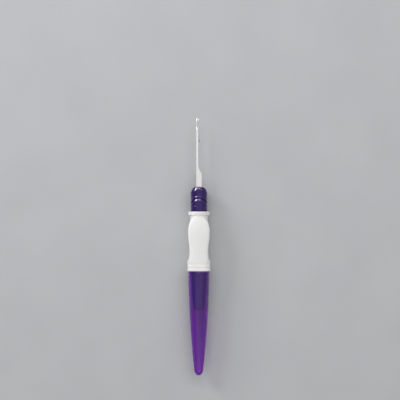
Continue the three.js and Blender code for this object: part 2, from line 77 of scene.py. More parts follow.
AXIS_Z = (collar_low[2] + collar_high[2]) / 2
NOSE_Y = collar_high[1]
GRIP_FRONT_Y = grip_high[1]
CAP_MOUTH_Y = cap_high[1]
CAP_END_Y = cap_low[1]
TIP_Y = needle_high[1]
PIVOT_X = (rivet_low[0] + rivet_high[0]) / 2
PIVOT_Y = (rivet_low[1] + rivet_high[1]) / 2
print(f"axis at z {AXIS_Z:.2f}, cap end {CAP_END_Y:.2f}, cap mouth {CAP_MOUTH_Y:.2f}")
print(f"grip front {GRIP_FRONT_Y:.2f}, nose {NOSE_Y:.2f}, tip {TIP_Y:.2f}")
print(f"latch pivot at x {PIVOT_X:.3f}, y {PIVOT_Y:.3f}")

# %% [markdown]
# ## From rings of points to a closed mesh
#
# Every piece of this tool is long and has one clear direction, so each can be made as a stack of
# rings: a grid of points whose first index runs along the piece and whose second runs round it.
# Modelling by hand with extrusions would give the same shape, but a grid can be computed as one
# array, and its faces follow from the order of its points.

# %% Make a mesh from rings
def ring_faces(count, around, loop):
    """Quads between each ring and the next. A loop also joins the last ring to the first."""
    number = np.arange(count * around).reshape(count, around)
    beside = np.roll(number, -1, axis=1)
    corners = [number, beside, np.roll(beside, -1, axis=0), np.roll(number, -1, axis=0)]
    rows = count if loop else count - 1
    return np.stack([corner[:rows] for corner in corners], axis=-1).reshape(-1, 4)


def end_fans(count, around):
    """Triangles from the first and last ring to the two pole points that follow the ring
    points."""
    first = np.arange(around)
    last = first + (count - 1) * around
    pole = np.full(around, count * around)
    front = np.stack([pole, np.roll(first, -1), first], axis=-1)
    rear = np.stack([pole + 1, last, np.roll(last, -1)], axis=-1)
    return np.concatenate([front, rear])


def enclosed(points, quads, fans):
    """Signed volume: the sum of a · (b × c) / 6 over all triangles. It is negative inside out."""
    halves = [quads[:, [0, 1, 2]], quads[:, [0, 2, 3]], fans]
    a, b, c = points[np.concatenate(halves)].transpose(1, 0, 2)
    return np.einsum("ij,ij->", a, np.cross(b, c)) / 6


def piece_of_rings(name, rings, loop=False, sharp_degrees=38):
    """A closed object from rings in millimetres. Without loop, each end closes on a pole."""
    count, around = rings.shape[:2]
    points = rings.reshape(-1, 3)
    quads = ring_faces(count, around, loop)
    fans = np.empty((0, 3), int)
    if not loop:
        points = np.concatenate([points, rings[[0, -1]].mean(axis=1)])
        fans = end_fans(count, around)
    volume = enclosed(points, quads, fans)
    if volume < 0:
        quads, fans = quads[:, ::-1], fans[:, ::-1]
    sizes = np.repeat([4, 3], [len(quads), len(fans)])
    mesh = bpy.data.meshes.new(name)
    mesh.vertices.add(len(points))
    mesh.vertices.foreach_set("co", (points * MM).ravel())
    mesh.loops.add(int(sizes.sum()))
    mesh.loops.foreach_set("vertex_index", np.concatenate([quads.ravel(), fans.ravel()]))
    mesh.polygons.add(len(sizes))
    mesh.polygons.foreach_set("loop_start", np.cumsum(sizes) - sizes)
    mesh.update(calc_edges=True)
    mesh.shade_smooth()
    mesh.set_sharp_from_angle(angle=np.radians(sharp_degrees))
    piece = bpy.data.objects.new(name, mesh)
    bpy.context.scene.collection.objects.link(piece)
    print(f"{name}: {len(points)} points, {len(sizes)} faces, {abs(volume):.2f} cubic mm")
    return piece


# %% [markdown]
# ## A curve that never overshoots
#
# A moulding is described by a few stations: so wide here, so high there. Straight lines between
# them would show as facets, and an ordinary spline swings past the stated sizes. This curve takes
# at each station the harmonic mean of the slopes beside it, which keeps it between its neighbours.

# %% Run a smooth curve through stations
def smooth_through(places, values, at):
    """Cubic pieces through (places, values). The slope at a place is the harmonic mean of the
    slopes on both sides of it, and level at a peak or a hollow, so no value is ever passed. Both
    ends keep the slope of their own step."""
    places, values = np.asarray(places, float), np.asarray(values, float)
    rises = np.diff(values) / np.diff(places)
    before, after = rises[:-1], rises[1:]
    agree = before * after > 0
    slopes = np.zeros_like(values)
    slopes[[0, -1]] = rises[[0, -1]]
    slopes[1:-1] = np.where(agree, 2 * before * after / np.where(agree, before + after, 1), 0)
    i = np.clip(np.searchsorted(places, at, side="right") - 1, 0, len(places) - 2)
    gap = places[i + 1] - places[i]
    t = (at - places[i]) / gap
    return (
        values[i] * (1 + 2 * t) * (1 - t) ** 2
        + values[i + 1] * t * t * (3 - 2 * t)
        + gap * (slopes[i] * t * (1 - t) ** 2 - slopes[i + 1] * t * t * (1 - t))
    )


def round_rings(radius, y, around=144):
    """Circles about the tool's axis: x = radius · sin turn and z = axis + radius · cos turn."""
    turn = np.linspace(0, 2 * np.pi, around, endpoint=False)
    radius, y = np.asarray(radius, float)[:, None], np.asarray(y, float)[:, None]
    across, up = radius * np.sin(turn), radius * np.cos(turn)
    return np.stack([across, y + 0 * across, AXIS_Z + up], axis=-1)


FLAT_CROWN = 0.12


def moulded_rings(front_y, station, arch_power=2, around=160):
    """Rings of a moulding that can be squarish and arched. At a turn from the top the radius r
    solves |r · sin turn / width| ^ n + |r · cos turn / height| ^ n = 1, with n the squareness. A
    flat side is then crowned: it loses crown · (1 − 2 / n) · (x / width)² of its height. And
    y = front − place + arch · (1 − 2 · |sin turn| ^ arch power): an arched ring runs forward at
    the top and underside and back at both flanks."""
    turn = np.linspace(0, 2 * np.pi, around, endpoint=False)
    place, width, height, squareness, arch = (station[:, [k]] for k in range(5))
    across, up = np.sin(turn), np.cos(turn)
    fill = np.abs(across / width) ** squareness + np.abs(up / height) ** squareness
    radius = fill ** (-1 / squareness)
    crown = 1 - FLAT_CROWN * (1 - 2 / squareness) * (radius * across / width) ** 2
    y = front_y - place + arch * (1 - 2 * np.abs(across) ** arch_power)
    return np.stack([radius * across, y, AXIS_Z + radius * up * crown], axis=-1)


steps = smooth_through([0, 1, 3], [0, 2, 3], np.linspace(0, 3, 7))
print("a curve through 0, 2 and 3:", np.round(steps, 2).tolist())

# %% [markdown]
# ## The white grip
#
# The grip is a hard satin moulding that fingers rest on: an oval rim in front, a neck scooped out
# at both flanks, a squarish barrel whose shoulder arches over the scoops and whose top rises
# slowly, a slight waist, and a fuller rear end with two shallow rings. It could be carved from a
# cylinder, but stations keep it editable: one row for each change of section, from front to rear.

# %% Grip stations
GRIP_RIM_WIDTH = 4.75
GRIP_RIM_HEIGHT = 4.25
GRIP_RIM_ROUND = 0.3
GRIP_REAR_WIDTH = 5.14
GRIP_REAR_HEIGHT = 4.8
GRIP_REAR_SQUARENESS = 4.5
GRIP_STATIONS = np.array([
    # place, half width, half height, squareness, arch
    [1.50, GRIP_RIM_WIDTH, GRIP_RIM_HEIGHT, 2.0, 0.00],
    [1.66, 4.35, 4.20, 2.0, 0.02],
    [2.00, 3.98, 4.14, 2.1, 0.22],
    [3.20, 3.92, 4.10, 2.2, 1.20],
    [3.62, 4.02, 4.10, 3.4, 1.40],
    [4.00, 4.12, 4.13, 6.5, 1.50],
    [4.60, 4.25, 4.22, 9.0, 1.50],
    [6.20, 4.62, 4.52, 11.0, 1.30],
    [8.00, 4.90, 4.70, 12.0, 0.80],
    [10.50, 4.85, 4.77, 12.0, 0.20],
    [17.60, 4.20, 4.80, 12.0, 0.00],
    [20.40, 4.38, 4.80, 10.0, 0.00],
    [22.10, GRIP_REAR_WIDTH, GRIP_REAR_HEIGHT, GRIP_REAR_SQUARENESS, 0.00],
])
GRIP_RINGS = (23.35, 25.05)
GRIP_RING_DEPTH = 0.08
GRIP_RING_SPREAD = 0.38
GRIP_BOSS_INSET = 0.7
GRIP_BOSS_RADIUS = (cap_high[0] - cap_low[0]) / 2 - GRIP_BOSS_INSET
GRIP_BOSS_LENGTH = 0.5
GRIP_BOSS_TAPER = 0.1
GRIP_BORE = 2.92
GRIP_LENGTH = GRIP_FRONT_Y - grip_low[1] - GRIP_BOSS_LENGTH
print(f"grip {GRIP_LENGTH:.2f} mm long, {2 * GRIP_REAR_WIDTH:.1f} mm wide at the rear")

# %% Grip surface
def rounded_edge(radius, count=7):
    """A quarter circle as (distance in from the end, drop below the full radius)."""
    turn = np.linspace(0, np.pi / 2, count)
    return radius * (1 - np.cos(turn)), radius * (1 - np.sin(turn))


def grip_rings():
    """Rim, eased body, rear flange with two rings whose depth falls off as
    exp(−(distance / spread)²), its rounded lip, the boss inside the cap, and the bore back to
    the front."""
    inset, drop = rounded_edge(GRIP_RIM_ROUND)
    full = np.ones_like(inset)
    rim = np.stack([inset, GRIP_RIM_WIDTH - drop, GRIP_RIM_HEIGHT - drop, 2 * full, 0 * full], -1)
    place = np.linspace(GRIP_STATIONS[0, 0], GRIP_STATIONS[-1, 0], 180)
    body = [smooth_through(GRIP_STATIONS[:, 0], GRIP_STATIONS[:, k], place) for k in range(1, 5)]
    body = np.stack([place, *body], axis=-1)
    place = np.linspace(GRIP_STATIONS[-1, 0], GRIP_LENGTH - GRIP_RIM_ROUND, 45)[1:]
    away = [(place - ring) / GRIP_RING_SPREAD for ring in GRIP_RINGS]
    dip = sum(GRIP_RING_DEPTH * np.exp(-(share**2)) for share in away)
    sides = [GRIP_REAR_WIDTH - dip, GRIP_REAR_HEIGHT - dip]
    flange = np.stack([place, *sides, 0 * place + GRIP_REAR_SQUARENESS, 0 * place], axis=-1)
    sides = [GRIP_REAR_WIDTH - drop[::-1], GRIP_REAR_HEIGHT - drop[::-1]]
    lip = [GRIP_LENGTH - inset[::-1], *sides, GRIP_REAR_SQUARENESS * full, 0 * full]
    lip = np.stack(lip, axis=-1)[1:]
    boss_end = GRIP_LENGTH + GRIP_BOSS_LENGTH
    boss = [[GRIP_LENGTH, GRIP_BOSS_RADIUS], [boss_end, GRIP_BOSS_RADIUS - GRIP_BOSS_TAPER]]
    bore = [[boss_end, GRIP_BORE], [GRIP_LENGTH / 2, GRIP_BORE], [0, GRIP_BORE]]
    inner = np.array([[place, radius, radius, 2, 0] for place, radius in boss + bore])
    return moulded_rings(GRIP_FRONT_Y, np.concatenate([rim, body, flange, lip, inner]))


grip_points = grip_rings()
grip_points[..., 2] = np.maximum(grip_points[..., 2], grip_low[2])
grip = piece_of_rings("grip_sleeve_shaped", grip_points, loop=True)
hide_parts("grip_sleeve")
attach(grip, "handle")

# %% [markdown]
# ## The bead collar
#
# In front of the grip sits a violet collar with two beads. Each swells, narrows to a soft waist
# and swells again, and where the second begins, a step runs round the collar in an arch: forward
# on top, back at the flanks. The front face is flat, and the rounded nose behind it already takes
# up a part of that arch. The same moulded rings make it, all with round sections.

# %% Collar surface
COLLAR_RADIUS = (collar_high[0] - collar_low[0]) / 2
COLLAR_WAIST = 3.5
COLLAR_LEDGE_RADIUS = 3.36
COLLAR_NOSE_RADIUS = 2.0
COLLAR_BORE = 1.87
COLLAR_LENGTH = collar_high[1] - collar_low[1]
COLLAR_ARCH = 1.12
COLLAR_ARCH_POWER = 3
COLLAR_NOSE_END = 0.9
COLLAR_STATIONS = np.array([
    # place, radius, arch
    [0.00, COLLAR_NOSE_RADIUS, 0.00],
    [0.12, 2.38, COLLAR_ARCH * 0.09],
    [0.36, 2.82, COLLAR_ARCH * 0.24],
    [0.62, 3.14, COLLAR_ARCH * 0.33],
    [0.80, 3.23, COLLAR_ARCH * 0.37],
    [0.90, 3.27, COLLAR_ARCH * 0.38],
    [1.36, 3.454, COLLAR_ARCH * 0.38],
    [1.46, 3.494, COLLAR_ARCH * 0.38],
    [2.40, COLLAR_RADIUS, COLLAR_ARCH * 0.42],
    [3.80, 3.57, COLLAR_ARCH * 0.7],
    [5.10, 3.55, COLLAR_ARCH * 0.95],
    [5.50, 3.66, COLLAR_ARCH],
    [6.05, COLLAR_RADIUS, COLLAR_ARCH],
    [6.25, COLLAR_RADIUS - 0.10, COLLAR_ARCH],
    [6.36, COLLAR_LEDGE_RADIUS, COLLAR_ARCH],
    [6.42, COLLAR_LEDGE_RADIUS + 0.018, COLLAR_ARCH],
    [6.46, COLLAR_LEDGE_RADIUS + 0.034, COLLAR_ARCH],
    [7.02, COLLAR_RADIUS - 0.062, COLLAR_ARCH],
    [7.07, COLLAR_RADIUS - 0.042, COLLAR_ARCH],
    [7.28, COLLAR_RADIUS, COLLAR_ARCH],
    [8.60, COLLAR_WAIST, COLLAR_ARCH / 2],
    [9.05, COLLAR_WAIST + 0.09, COLLAR_ARCH * 0.4],
    [COLLAR_LENGTH - 0.25, COLLAR_RADIUS - 0.02, 0.02],
    [COLLAR_LENGTH, COLLAR_RADIUS - 0.08, 0],
])


def collar_rings():
    """The stations from the nose to the grip, with finer steps over the nose, then the bore."""
    nose = np.linspace(0, COLLAR_NOSE_END, 31)[:-1]
    place = np.append(nose, np.linspace(COLLAR_NOSE_END, COLLAR_LENGTH, 165))
    radius = smooth_through(COLLAR_STATIONS[:, 0], COLLAR_STATIONS[:, 1], place)
    arch = smooth_through(COLLAR_STATIONS[:, 0], COLLAR_STATIONS[:, 2], place)
    bore_place = np.array([COLLAR_LENGTH, COLLAR_LENGTH / 2, 0])
    place = np.concatenate([place, bore_place])
    radius = np.concatenate([radius, 0 * bore_place + COLLAR_BORE])
    arch = np.concatenate([arch, 0 * bore_place])
    station = np.stack([place, radius, radius, 0 * place + 2, arch], axis=-1)
    return moulded_rings(NOSE_Y, station, COLLAR_ARCH_POWER, around=144)


collar = piece_of_rings("front_collar_beaded", collar_rings(), loop=True)
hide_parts("front_collar")
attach(collar, "handle")

# %% [markdown]
# ## The handle core
#
# One violet moulding carries everything: a spigot in the collar, a barrel in the grip, a seat that
# the cap is pushed on, and a tapered stub that shows through the clear cap. A flat pocket for the
# needle's tang runs in from the front. The surface goes up the outside from the stub's rounded
# end, turns in at the front and comes back down inside the pocket, so it stays one closed skin.

# %% Core surface
SEAT_RADIUS = (core_high[0] - core_low[0]) / 2
SEAT_LENGTH = 1.2
SEAT_GAP = 0.05
SEAT_FRONT_Y = grip_low[1] - SEAT_GAP
STUB_RADIUS = 3.7
STUB_END_RADIUS = 2.65
STUB_END_ROUND = 1.7
BARREL_RADIUS = 2.9
SPIGOT_RADIUS = 1.85
SHANK_HALF_WIDTH = (needle_high[0] - needle_low[0]) / 2
TANG_END_Y = needle_low[1]
TANG_NOTCH_DEPTH = 0.5
TANG_NOTCH_HALF = 1.2
TANG_NOTCH_Y = (NOSE_Y + TANG_END_Y) / 2
STRIP_HALF = 0.35
PRESS = 0.02
POLE_TURN = 0.06
CORE_AROUND = 128


def straight_between(values, count):
    """Each step between two values in count even parts, without the step's last value."""
    values = np.asarray(values, float)
    share = np.arange(count) / count
    return np.append((values[:-1, None] + np.diff(values)[:, None] * share).ravel(), values[-1])


def core_outside(around):
    """The turned outside: a rounded end, which starts a small turn away from its pole, then the
    stub, the seat, the barrel and the spigot up to the front face."""
    turn = np.linspace(POLE_TURN, np.pi / 2, 14)
    end_radius = STUB_END_RADIUS * np.sin(turn)
    end_y = core_low[1] + STUB_END_ROUND * (1 - np.cos(turn))
    step_y = SEAT_FRONT_Y - SEAT_LENGTH
    radius = [STUB_END_RADIUS, STUB_RADIUS, SEAT_RADIUS, SEAT_RADIUS, BARREL_RADIUS, BARREL_RADIUS]
    radius += [SPIGOT_RADIUS, SPIGOT_RADIUS]
    y = [end_y[-1], step_y - (SEAT_RADIUS - STUB_RADIUS), step_y, SEAT_FRONT_Y, SEAT_FRONT_Y]
    y += [GRIP_FRONT_Y, GRIP_FRONT_Y, core_high[1]]
    radius = np.append(end_radius[:-1], straight_between(radius, 8))
    return round_rings(radius, np.append(end_y[:-1], straight_between(y, 8)), around)


def pocket_inside(around):
    """Flat rings down the tang's pocket, whose half width steps in by the notch depth and out
    again."""
    half = SHANK_HALF_WIDTH + PRESS
    notch = TANG_NOTCH_HALF - PRESS
    upper, lower = TANG_NOTCH_Y + notch, TANG_NOTCH_Y - notch
    y = np.array([core_high[1], upper, upper, lower, lower, TANG_END_Y - PRESS])
    width = half - TANG_NOTCH_DEPTH * np.array([0, 0, 1, 1, 0, 0])
    turn = np.linspace(0, 2 * np.pi, around, endpoint=False)
    reach = 1 / np.maximum(np.abs(np.sin(turn)), np.abs(np.cos(turn)))
    x = width[:, None] * np.sin(turn) * reach
    z = AXIS_Z + (STRIP_HALF + PRESS) * np.cos(turn) * reach + 0 * x
    return np.stack([x, y[:, None] + 0 * x, z], axis=-1)


core_points = np.concatenate([core_outside(CORE_AROUND), pocket_inside(CORE_AROUND)])
core = piece_of_rings("handle_core_turned", core_points)
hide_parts("handle_core")
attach(core, "handle")

# %% [markdown]
# ## The clear cap
#
# The cap is a thin tapered shell with a rounded closed end. Solidify could thicken a single skin,
# but clear plastic bends light at both of its faces, and a real cap is thicker at its closed end,
# so the outer and the inner wall are written as two profiles of one closed surface.

# %% Cap surface
CAP_LENGTH = CAP_MOUTH_Y - CAP_END_Y
CAP_RADIUS = (cap_high[0] - cap_low[0]) / 2
CAP_TAPER_LOSS = 2.85
CAP_TAPER_POWER = 1.75
CAP_WALL = 0.62
CAP_END_WALL = 0.7
CAP_END_ROUND = 2.2
CAP_LIP_ROUND = 0.12
CAP_CLOSE = 0.97


def cap_wall(length, inset, end_round, count=90):
    """Radius at a distance s from the mouth: mouth − loss · (s / length) ^ power − inset, and over
    the rounded end times the square root of 1 − (share of the round passed)². The last ring stops
    just short of the pole."""
    turn = np.linspace(0, np.pi / 2 * CAP_CLOSE, 22)
    over = length - end_round + end_round * np.sin(turn)
    s = np.concatenate([np.linspace(0, length - end_round, count)[:-1], over])
    shrink = np.append(np.ones(count - 1), np.cos(turn))
    taper = CAP_RADIUS - CAP_TAPER_LOSS * (s / CAP_LENGTH) ** CAP_TAPER_POWER
    return (taper - inset) * shrink, CAP_MOUTH_Y - s


def cap_rings():
    """One skin from the outer pole up to the mouth's lip, whose section is a squarish half oval,
    and down the inner wall to the inner pole."""
    outer_radius, outer_y = cap_wall(CAP_LENGTH, 0, CAP_END_ROUND)
    inner_radius, inner_y = cap_wall(CAP_LENGTH - CAP_END_WALL, CAP_WALL, CAP_END_ROUND - CAP_WALL)
    turn = np.linspace(0, np.pi, 14)
    side = np.sign(np.cos(turn)) * np.abs(np.cos(turn)) ** 0.5
    lip_radius = CAP_RADIUS - CAP_WALL / 2 + (CAP_WALL / 2) * side
    lip_y = CAP_MOUTH_Y - CAP_LIP_ROUND + CAP_LIP_ROUND * np.abs(np.sin(turn)) ** 0.5
    outer = outer_y < CAP_MOUTH_Y - 2 * CAP_LIP_ROUND
    inner = inner_y < CAP_MOUTH_Y - 2 * CAP_LIP_ROUND
    radius = np.concatenate([outer_radius[outer][::-1], lip_radius, inner_radius[inner]])
    y = np.concatenate([outer_y[outer][::-1], lip_y, inner_y[inner]])
    return round_rings(radius, y)


cap = piece_of_rings("cap_clear", cap_rings())
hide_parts("cap")
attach(cap, "cap")

# %% [markdown]
# ## Thin rounded sections with a groove
#
# The needle and its latch are small enough to be ground from strip and wire, and both have a
# groove in the side that faces the swing: the saw cut for the latch in the needle, and the cup of
# the latch's spoon. One section covers all of it, a rectangle with rounded corners whose front
# side can dip in. With its corner radius equal to both half sizes it is the round wire of the
# hook.

# %% Grooved section
def grooved_rings(centre_x, centre_y, turn, half_x, half_z, corner, groove_half, groove_depth):
    """Rings along a path in the plane of the tool. Each is a rectangle 2 · half_x by 2 · half_z
    with quarter circle corners. Its front, at + half_x, dips along a squarish half oval: height
    groove_half · cos ^ 0.5 and depth groove_depth · sin ^ 0.5. A ring's own x direction is turned
    by turn from the tool's X, so that it can follow the hook's bend."""
    column = [np.asarray(v, float)[:, None] for v in np.broadcast_arrays(
        centre_x, centre_y, turn, half_x, half_z, corner, groove_half, groove_depth)]
    centre_x, centre_y, turn, half_x, half_z, corner, groove_half, groove_depth = column
    arc = np.linspace(0, np.pi / 2, 7)
    flat = np.array([0.9, 0.3, -0.3, -0.9])
    in_x, in_z = half_x - corner, half_z - corner
    lip = np.arcsin(np.clip((groove_half - in_z) / corner, 0, 1))
    front_arc = lip + (np.pi / 2 - lip) * arc / arc[-1]
    dip = np.linspace(0, np.pi, 19)
    dip_z = groove_half * np.sign(np.cos(dip)) * np.sqrt(np.abs(np.cos(dip)))
    past = np.maximum(np.abs(dip_z) - in_z, 0)
    front_x = in_x + np.sqrt(np.maximum(corner**2 - past**2, 0))
    dip_x = front_x - groove_depth * np.sqrt(np.maximum(np.sin(dip), 0))
    own_x = [in_x + corner * np.cos(front_arc), in_x * flat + 0 * half_z,
             -in_x - corner * np.sin(arc), -in_x - corner * np.cos(arc), in_x * -flat + 0 * half_z]
    own_z = [in_z + corner * np.sin(front_arc), half_z + 0 * flat,
             in_z + corner * np.cos(arc), -in_z - corner * np.sin(arc), -half_z + 0 * flat]
    own_x += [own_x[0][:, ::-1], dip_x[:, ::-1][:, 1:-1]]
    own_z += [-own_z[0][:, ::-1], dip_z[:, ::-1][:, 1:-1]]
    own_x, own_z = np.concatenate(own_x, axis=1), np.concatenate(own_z, axis=1)
    x = centre_x + own_x * np.cos(turn)
    y = centre_y - own_x * np.sin(turn)
    return np.stack([x, y, AXIS_Z + own_z], axis=-1)


print("points in a ring:", grooved_rings([0], [0], [0], [1], [1], [0.2], [0.3], [0])[0].shape[0])

# %% [markdown]
# ## The needle
#
# The needle is one strip of hard steel. Its back is straight from the tang to the hook, and its
# front edge falls from the broad shank down a ramp to the narrow stem. Near the tip two cheeks
# stand on both sides of the saw cut, and in front of them the metal runs out into round wire,
# which bends over into the hook. As a path of sections all of that is a list of half widths along
# Y.

# %% Needle sizes
BACK_X = needle_low[0]
SHANK_LENGTH = 5.5
SHANK_TOP_Y = NOSE_Y + SHANK_LENGTH
STEM_WIDTH = 0.89
STEM_EDGE_X = BACK_X + STEM_WIDTH
RAMP_LENGTH = 5.1
RAMP_CORNER = 1.2
WIRE_RADIUS = 0.21
WIRE_EDGE_X = BACK_X + 2 * WIRE_RADIUS
WIRE_LENGTH = 3.8
CHEEK_TOP_Y = TIP_Y - WIRE_LENGTH
CHEEK_RAMP = 0.8
HOOK_BEND = 0.45
HOOK_BEND_Y = TIP_Y - WIRE_RADIUS - HOOK_BEND
HOOK_LENGTH = 1.6
HOOK_END_Y = TIP_Y - HOOK_LENGTH
HOOK_TAPER = 0.6
HOOK_TAPER_Y = HOOK_END_Y + HOOK_TAPER
HOOK_POINT_RADIUS = 0.12
STRIP_CORNER = 0.15
SLOT_HALF = 0.17
SLOT_MOST = 0.8
SLOT_REACH = 8.0
SLOT_UNDER_BLADE = 0.18
SLOT_UNDER_EYE = 0.37
SLOT_DROP = 0.9
LEAN = np.radians(10.5)


def beside_latch(along, aside):
    """A point at a distance along the open latch from its pivot and aside from it, towards the
    back."""
    x = PIVOT_X + along * np.sin(LEAN) - aside * np.cos(LEAN)
    return x, PIVOT_Y - along * np.cos(LEAN) - aside * np.sin(LEAN)


# The slot's floor from its rear end to the wire, as (x, y). It drops under the latch's eye.
SLOT_FLOOR = np.array([
    beside_latch(SLOT_REACH, SLOT_UNDER_BLADE),
    beside_latch(SLOT_DROP, SLOT_UNDER_BLADE),
    beside_latch(SLOT_UNDER_EYE, SLOT_UNDER_EYE),
    beside_latch(0.0, SLOT_UNDER_EYE),
    (PIVOT_X - SLOT_UNDER_EYE, PIVOT_Y + SLOT_UNDER_EYE),
    (WIRE_EDGE_X, CHEEK_TOP_Y),
    (WIRE_EDGE_X, TIP_Y),
])
print(f"ramp from y {SHANK_TOP_Y:.1f} to {SHANK_TOP_Y + RAMP_LENGTH:.1f}")
print(f"cheeks end at {CHEEK_TOP_Y:.1f}, hook's point at {HOOK_END_Y:.1f}")

# %% Needle surface
STRIP_START_Y = NOSE_Y - 1.0  # the even rings start here, inside the collar
SPACED_RINGS_Y = (37.5, 47.5)  # the stem is plain here, so its rings stand further apart
STRIP_RING_COUNTS = (8, 46, 20, 150)
POINT_CLOSE = 0.93  # the point's rings stop at this share of a quarter turn, short of the pole
TANG_END_ROUND = 0.05
TANG_END_CORNER = 0.02
NOTCH_STEP = 0.01


def wire_share(y):
    """0 where the cheeks begin to fall, 1 in the wire, and straight between them."""
    return np.clip((y - CHEEK_TOP_Y + CHEEK_RAMP) / CHEEK_RAMP, 0, 1)


def in_runs(ends, counts):
    """Even steps from each end to the next, with that run's count of points and no value twice."""
    runs = [np.linspace(a, b, count) for a, b, count in zip(ends, ends[1:], counts)]
    return np.concatenate(runs[:1] + [run[1:] for run in runs[1:]])


def front_edge(y):
    """The strip's front edge. The ramp is a round corner of radius r and a hollow arc of radius R
    that meet on the slope 2 · atan(drop / length), with R = length / sin(slope) − r."""
    slope = 2 * np.arctan((-BACK_X - STEM_EDGE_X) / RAMP_LENGTH)
    hollow = RAMP_LENGTH / np.sin(slope) - RAMP_CORNER
    up = np.clip(y - SHANK_TOP_Y, 0, RAMP_CORNER * np.sin(slope))
    corner_x = -BACK_X - RAMP_CORNER + np.sqrt(RAMP_CORNER**2 - up**2)
    down = np.clip(SHANK_TOP_Y + RAMP_LENGTH - y, 0, hollow * np.sin(slope))
    hollow_x = STEM_EDGE_X + hollow - np.sqrt(hollow**2 - down**2)
    edge = np.where(y < SHANK_TOP_Y + RAMP_CORNER * np.sin(slope), corner_x, hollow_x)
    share = wire_share(y)
    return edge + (WIRE_EDGE_X - edge) * share * share * (3 - 2 * share)


def needle_rings():
    """Tang, strip and wire as one run of rings along Y, then the half circle of the bend, and the
    point that tapers and closes round. Half sizes and corners go over into the wire's by the wire
    share."""
    notch_low, notch_high = TANG_NOTCH_Y - TANG_NOTCH_HALF, TANG_NOTCH_Y + TANG_NOTCH_HALF
    tang = [TANG_END_Y, TANG_END_Y + TANG_END_CORNER, notch_low - NOTCH_STEP]
    tang += [notch_low, notch_high, notch_high + NOTCH_STEP]
    strip_ends = [STRIP_START_Y, SHANK_TOP_Y, *SPACED_RINGS_Y, HOOK_BEND_Y]
    strip = in_runs(strip_ends, STRIP_RING_COUNTS)
    y = np.append(tang, strip)
    notch = np.where(np.abs(y - TANG_NOTCH_Y) <= TANG_NOTCH_HALF, TANG_NOTCH_DEPTH, 0)
    edge, back = front_edge(y) - notch, BACK_X + notch
    half_x = (edge - back) / 2
    share = wire_share(y)
    half_z = STRIP_HALF + (WIRE_RADIUS - STRIP_HALF) * share * share * (3 - 2 * share)
    corner = STRIP_CORNER + (WIRE_RADIUS - STRIP_CORNER) * share
    half_x[0], half_z[0] = half_x[0] - TANG_END_ROUND, half_z[0] - TANG_END_ROUND
    corner[0] = TANG_END_CORNER
    floor = np.interp(y, SLOT_FLOOR[:, 1], SLOT_FLOOR[:, 0])
    depth = np.clip(edge - floor, 0, None)
    slot = np.minimum(SLOT_HALF, half_z * SLOT_MOST)
    corner = np.minimum(corner, half_x)
    straight = [(edge + back) / 2, y, 0 * y, half_x, half_z, corner, slot, depth]

    bend = np.linspace(0, np.pi, 42)[1:]
    wire_x = BACK_X + WIRE_RADIUS
    around = [wire_x + HOOK_BEND * (1 - np.cos(bend)), HOOK_BEND_Y + HOOK_BEND * np.sin(bend), bend]
    around += [0 * bend + WIRE_RADIUS] * 3 + [0 * bend + SLOT_MOST * WIRE_RADIUS, 0 * bend]

    point_y = HOOK_END_Y + HOOK_POINT_RADIUS
    close = np.linspace(0, np.pi / 2 * POINT_CLOSE, 9)[1:]
    down = in_runs([HOOK_BEND_Y, HOOK_TAPER_Y, point_y], [5, 10])[1:]
    down = np.append(down, HOOK_END_Y + HOOK_POINT_RADIUS * (1 - np.sin(close)))
    radius = np.interp(down, [point_y, HOOK_TAPER_Y], [HOOK_POINT_RADIUS, WIRE_RADIUS])
    radius[-len(close):] = HOOK_POINT_RADIUS * np.cos(close)
    level = 0 * down
    point = [level + wire_x + 2 * HOOK_BEND, down, level + np.pi, radius, radius, radius]
    point += [SLOT_MOST * radius, level]
    return grooved_rings(*(np.concatenate(rows) for rows in zip(straight, around, point)))


needle = piece_of_rings("latch_needle_ground", needle_rings(), sharp_degrees=50)
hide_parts("latch_needle")
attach(needle, "handle")

# %% [markdown]
# ## The latch
#
# The latch is the smallest moving part: an eye on the rivet, a thin blade, and a spoon that covers
# the hook's point when it closes. It lies folded back beside the stem, leaning a few degrees out
# of the slot. It is drawn straight, with its eye at the pivot, and then turned by its lean.

# %% Latch surface
LATCH_LENGTH = 4.95
LATCH_HALF_THICK = 0.12
LATCH_EYE = 0.32
EYE_CLOSE = 0.93
EYE_OPEN = 0.4
LATCH_NECK = 0.26
BLADE_HALF = 0.13
BLADE_START = 0.9
SPOON_LENGTH = 1.9
SPOON_HALF_WIDTH = 0.36
SPOON_HALF_DEPTH = 0.25
SPOON_WALL = 0.1
SPOON_CUP = 0.34
SPOON_CORNER = 0.3
SPOON_CLOSE = 0.95
CUP_DELAY = 0.25
CUP_LEAST_SHARE = 0.4
BLADE_CORNER = 0.05
ROUNDEST = 0.95
THIN_EDGE = 0.02


